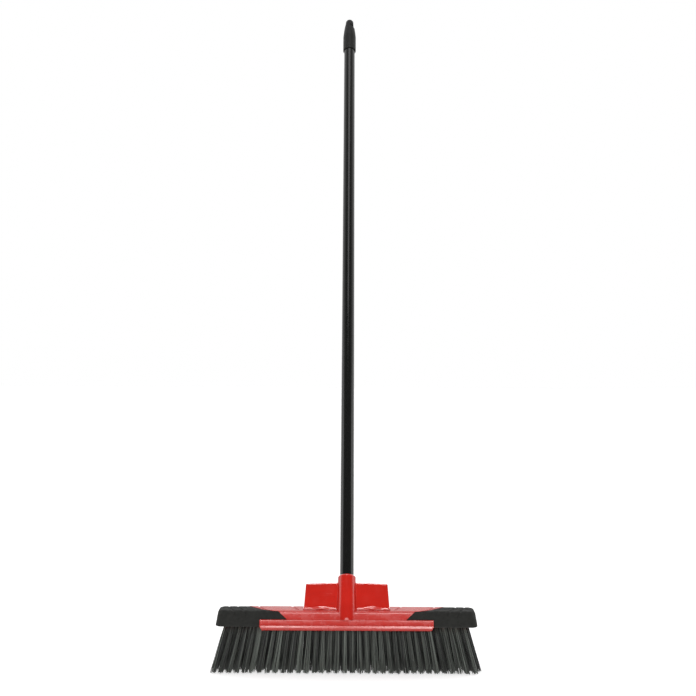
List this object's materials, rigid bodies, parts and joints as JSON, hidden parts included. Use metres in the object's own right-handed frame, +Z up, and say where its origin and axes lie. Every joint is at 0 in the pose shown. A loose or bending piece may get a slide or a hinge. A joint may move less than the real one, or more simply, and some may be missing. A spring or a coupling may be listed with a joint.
{
  "type": "push broom",
  "caption": "Push broom: a wide moulded block set with fanned stiff bristle, soft end bumpers, and a long leaning tube handle that screws into a socket.",
  "frame": {"origin": "centre of the trimmed bristle tips, on the floor, midway along the head", "axes": "+X along the head, +Z up, -Y the leading side with the scraper lip; the handle leans back towards +Y"},
  "size_m": [0.481, 0.7682, 1.3664],
  "materials": {
    "red_block": "satin moulded red plastic",
    "red_bracket": "glossy moulded red plastic",
    "bumper_rubber": "matt soft black rubber",
    "bristle": "stiff dark grey-green plastic bristle",
    "tube_coat": "semi-gloss black coating on steel",
    "tip_plastic": "plain black moulded plastic",
    "cap_plastic": "matt black moulded plastic"
  },
  "bodies": {
    "head": {"block": "red_block", "bumper_left": "bumper_rubber", "bumper_right": "bumper_rubber", "handle_bracket": "red_bracket", "tuft_column_01": "bristle", "tuft_column_02": "bristle", "tuft_column_03": "bristle", "tuft_column_04": "bristle", "tuft_column_05": "bristle", "tuft_column_06": "bristle", "tuft_column_07": "bristle", "tuft_column_08": "bristle", "tuft_column_09": "bristle", "tuft_column_10": "bristle", "tuft_column_11": "bristle", "tuft_column_12": "bristle", "tuft_column_13": "bristle", "tuft_column_14": "bristle", "tuft_column_15": "bristle", "tuft_column_16": "bristle", "tuft_column_17": "bristle", "tuft_column_18": "bristle", "tuft_column_19": "bristle", "tuft_column_20": "bristle", "tuft_column_21": "bristle", "tuft_column_22": "bristle", "tuft_column_23": "bristle", "tuft_column_24": "bristle", "tuft_column_25": "bristle", "tuft_column_26": "bristle", "tuft_column_27": "bristle", "tuft_column_28": "bristle", "tuft_column_29": "bristle", "tuft_column_30": "bristle", "tuft_column_31": "bristle", "tuft_column_32": "bristle", "tuft_column_33": "bristle", "tuft_column_34": "bristle", "tuft_column_35": "bristle"},
    "screw": {"thread_tip": "tip_plastic"},
    "handle": {"handle_tube": "tube_coat", "hang_cap": "cap_plastic"}
  },
  "joints": [
    {"name": "handle_climb", "type": "slide", "parent": "head", "child": "screw", "axis": [0, 0.5, 0.866], "range_m": [0, 0.028]},
    {"name": "handle_screw", "type": "hinge", "parent": "screw", "child": "handle", "pos_m": [0, 0.0245, 0.15883], "axis": [0, 0.5, 0.866], "range_deg": [0, 1985]}
  ],
  "couplings": [
    {"joint": "handle_screw", "follows": "handle_climb", "rad_per_m": 1236.8}
  ]
}
